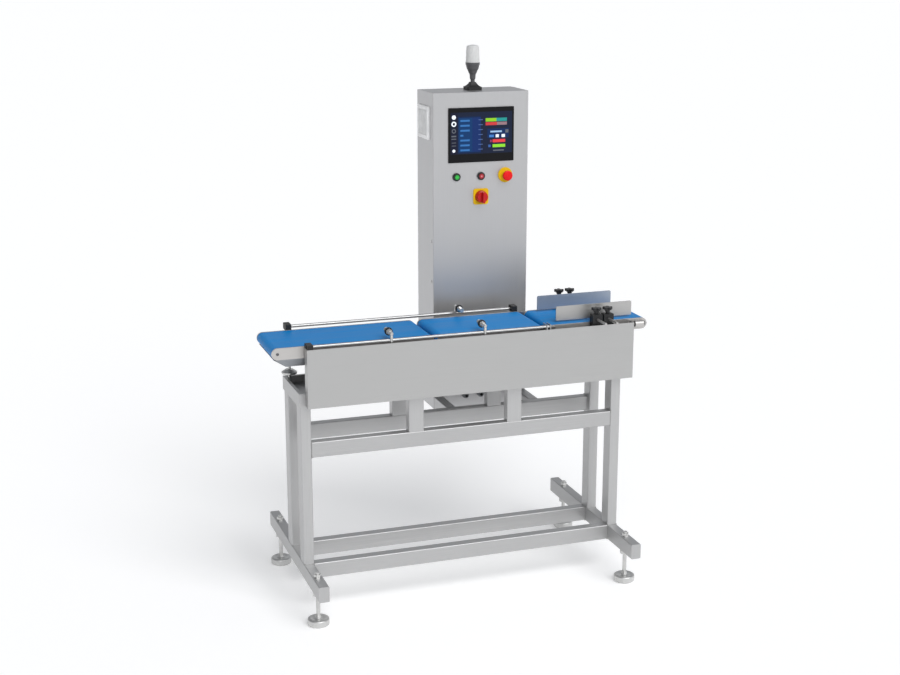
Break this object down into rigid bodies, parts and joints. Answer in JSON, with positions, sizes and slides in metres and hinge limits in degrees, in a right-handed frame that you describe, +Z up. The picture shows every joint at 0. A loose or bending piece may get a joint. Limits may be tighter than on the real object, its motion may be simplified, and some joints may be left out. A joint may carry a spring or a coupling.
{
  "type": "checkweigher",
  "caption": "In-line checkweigher: three belt conveyors over a tube stand with levelling feet, side guides, light sensors, and a tall control cabinet with touch screen and beacon.",
  "frame": {"origin": "on the floor, under the middle of the whole outline", "axes": "+X along the belts from the infeed to the outfeed, +Y from the front to the cabinet, +Z up"},
  "size_m": [1.5019, 0.84, 2.079],
  "materials": {
    "stainless": "brushed stainless sheet and tube",
    "cabinet_steel": "fine brushed stainless sheet",
    "bright_steel": "polished rod and fastener steel",
    "roller_alu": "turned aluminium",
    "cell_alu": "milled aluminium",
    "belt_blue": "smooth blue coated belt",
    "black_plastic": "matte black moulded plastic",
    "grey_plastic": "matte grey moulded plastic",
    "beacon_grey": "smooth dark grey plastic",
    "lens_frost": "frosted ribbed lens",
    "filter_white": "pale grey-white plastic",
    "filter_mat": "grey filter fleece",
    "screen_glass": null,
    "green": "green button",
    "red": "red button",
    "yellow": "yellow plate",
    "gear_grey": "grey device housings",
    "guide_coat": "satin guide plate"
  },
  "bodies": {
    "frame": {"beacon_base": "black_plastic", "beacon_body": "beacon_grey", "beacon_lens": "lens_frost", "button_collars": "black_plastic", "cabinet_arms": "stainless", "cabinet_shell": "cabinet_steel", "cable_glands": "grey_plastic", "clamp_blocks": "black_plastic", "control_gear": "gear_grey", "conveyor_feet": "bright_steel", "conveyor_pans": "stainless", "cross_rails": "stainless", "door_hinges": "bright_steel", "estop_base": "yellow", "filter_frame": "filter_white", "filter_mat": "filter_mat", "foot_bars": "stainless", "foot_nuts": "bright_steel", "front_cover": "stainless", "guide_rods": "bright_steel", "hmi_housing": "black_plastic", "hmi_screen": "screen_glass", "infeed_belt": "belt_blue", "infeed_frame": "stainless", "mounting_plate": "bright_steel", "outfeed_belt": "belt_blue", "outfeed_frame": "stainless", "roller_axles": "bright_steel", "side_screws": "bright_steel", "switch_plate": "yellow", "top_tray": "stainless", "uprights": "stainless", "weigh_belt": "belt_blue", "weigh_cell": "cell_alu", "weigh_frame": "stainless"},
    "door": {"cabinet_door": "cabinet_steel"},
    "lock": {"door_lock": "bright_steel"},
    "green_cap": {"green_button": "green"},
    "red_cap": {"red_button": "red"},
    "stop_head": {"estop_button": "red"},
    "switch": {"switch_knob": "red"},
    "infeed_sensor": {"sensor_infeed": "bright_steel"},
    "weigh_sensor_front": {"sensor_weigh_front": "bright_steel"},
    "weigh_sensor_rear": {"sensor_weigh_rear": "bright_steel"},
    "guide_front": {"guide_plate_front": "guide_coat"},
    "guide_rear": {"guide_plate_rear": "guide_coat"},
    "foot_front_left": {"levelling_foot_front_left": "bright_steel"},
    "knob_front_left": {"star_knob_front_left": "black_plastic"},
    "foot_front_right": {"levelling_foot_front_right": "bright_steel"},
    "knob_front_right": {"star_knob_front_right": "black_plastic"},
    "foot_rear_left": {"levelling_foot_rear_left": "bright_steel"},
    "knob_rear_left": {"star_knob_rear_left": "black_plastic"},
    "foot_rear_right": {"levelling_foot_rear_right": "bright_steel"},
    "knob_rear_right": {"star_knob_rear_right": "black_plastic"},
    "infeed_drive": {"infeed_roller_right": "roller_alu"},
    "infeed_tail": {"infeed_roller_left": "roller_alu"},
    "weigh_drive": {"weigh_roller_right": "roller_alu"},
    "weigh_tail": {"weigh_roller_left": "roller_alu"},
    "outfeed_drive": {"outfeed_roller_right": "roller_alu"},
    "outfeed_tail": {"outfeed_roller_left": "roller_alu"}
  },
  "joints": [
    {"name": "foot_level_front_left", "type": "slide", "parent": "frame", "child": "foot_front_left", "axis": [0, 0, 1], "range_m": [-0.02, 0.03]},
    {"name": "foot_level_front_right", "type": "slide", "parent": "frame", "child": "foot_front_right", "axis": [0, 0, 1], "range_m": [-0.02, 0.03]},
    {"name": "foot_level_rear_left", "type": "slide", "parent": "frame", "child": "foot_rear_left", "axis": [0, 0, 1], "range_m": [-0.02, 0.03]},
    {"name": "foot_level_rear_right", "type": "slide", "parent": "frame", "child": "foot_rear_right", "axis": [0, 0, 1], "range_m": [-0.02, 0.03]},
    {"name": "door_hinge", "type": "hinge", "parent": "frame", "child": "door", "pos_m": [0.41, 0.4006, 1.262], "axis": [0, 0, -1], "range_deg": [0, 110]},
    {"name": "door_lock_turn", "type": "hinge", "parent": "door", "child": "lock", "pos_m": [0.038, 0.415, 1.262], "axis": [0, -1, 0], "range_deg": [0, 90]},
    {"name": "green_press", "type": "slide", "parent": "frame", "child": "green_cap", "axis": [0, 1, 0], "range_m": [0, 0.004], "stiffness_N_per_m": 500},
    {"name": "red_press", "type": "slide", "parent": "frame", "child": "red_cap", "axis": [0, 1, 0], "range_m": [0, 0.004], "stiffness_N_per_m": 500},
    {"name": "stop_press", "type": "slide", "parent": "frame", "child": "stop_head", "axis": [0, 1, 0], "range_m": [0, 0.005]},
    {"name": "switch_turn", "type": "hinge", "parent": "frame", "child": "switch", "pos_m": [0.204, 0.215, 1.489], "axis": [0, -1, 0], "range_deg": [-90, 0]},
    {"name": "infeed_sensor_slide", "type": "slide", "parent": "frame", "child": "infeed_sensor", "axis": [1, 0, 0], "range_m": [-0.04, 0.04]},
    {"name": "weigh_sensor_front_slide", "type": "slide", "parent": "frame", "child": "weigh_sensor_front", "axis": [1, 0, 0], "range_m": [-0.04, 0.04]},
    {"name": "weigh_sensor_rear_slide", "type": "slide", "parent": "frame", "child": "weigh_sensor_rear", "axis": [1, 0, 0], "range_m": [-0.04, 0.04]},
    {"name": "guide_front_slide", "type": "slide", "parent": "frame", "child": "guide_front", "axis": [0, 1, 0], "range_m": [-0.025, 0.06]},
    {"name": "guide_rear_slide", "type": "slide", "parent": "frame", "child": "guide_rear", "axis": [0, -1, 0], "range_m": [-0.025, 0.06]},
    {"name": "knob_turn_front_left", "type": "hinge", "parent": "frame", "child": "knob_front_left", "pos_m": [0.527, -0.21, 1.082], "axis": [0, 0, 1], "continuous": true},
    {"name": "knob_turn_front_right", "type": "hinge", "parent": "frame", "child": "knob_front_right", "pos_m": [0.574, -0.21, 1.082], "axis": [0, 0, 1], "continuous": true},
    {"name": "knob_turn_rear_left", "type": "hinge", "parent": "frame", "child": "knob_rear_left", "pos_m": [0.516, 0.135, 1.082], "axis": [0, 0, 1], "continuous": true},
    {"name": "knob_turn_rear_right", "type": "hinge", "parent": "frame", "child": "knob_rear_right", "pos_m": [0.563, 0.135, 1.082], "axis": [0, 0, 1], "continuous": true},
    {"name": "infeed_drive_spin", "type": "hinge", "parent": "frame", "child": "infeed_drive", "pos_m": [-0.15, -0.065, 1.0215], "axis": [0, 1, 0], "continuous": true},
    {"name": "infeed_tail_spin", "type": "hinge", "parent": "frame", "child": "infeed_tail", "pos_m": [-0.729, -0.065, 1.0215], "axis": [0, 1, 0], "continuous": true},
    {"name": "weigh_drive_spin", "type": "hinge", "parent": "frame", "child": "weigh_drive", "pos_m": [0.299, -0.065, 1.0215], "axis": [0, 1, 0], "continuous": true},
    {"name": "weigh_tail_spin", "type": "hinge", "parent": "frame", "child": "weigh_tail", "pos_m": [-0.094, -0.065, 1.0215], "axis": [0, 1, 0], "continuous": true},
    {"name": "outfeed_drive_spin", "type": "hinge", "parent": "frame", "child": "outfeed_drive", "pos_m": [0.729, -0.065, 1.0215], "axis": [0, 1, 0], "continuous": true},
    {"name": "outfeed_tail_spin", "type": "hinge", "parent": "frame", "child": "outfeed_tail", "pos_m": [0.355, -0.065, 1.0215], "axis": [0, 1, 0], "continuous": true}
  ],
  "couplings": [
    {"joint": "infeed_tail_spin", "follows": "infeed_drive_spin", "ratio": 1},
    {"joint": "weigh_tail_spin", "follows": "weigh_drive_spin", "ratio": 1},
    {"joint": "outfeed_tail_spin", "follows": "outfeed_drive_spin", "ratio": 1}
  ]
}
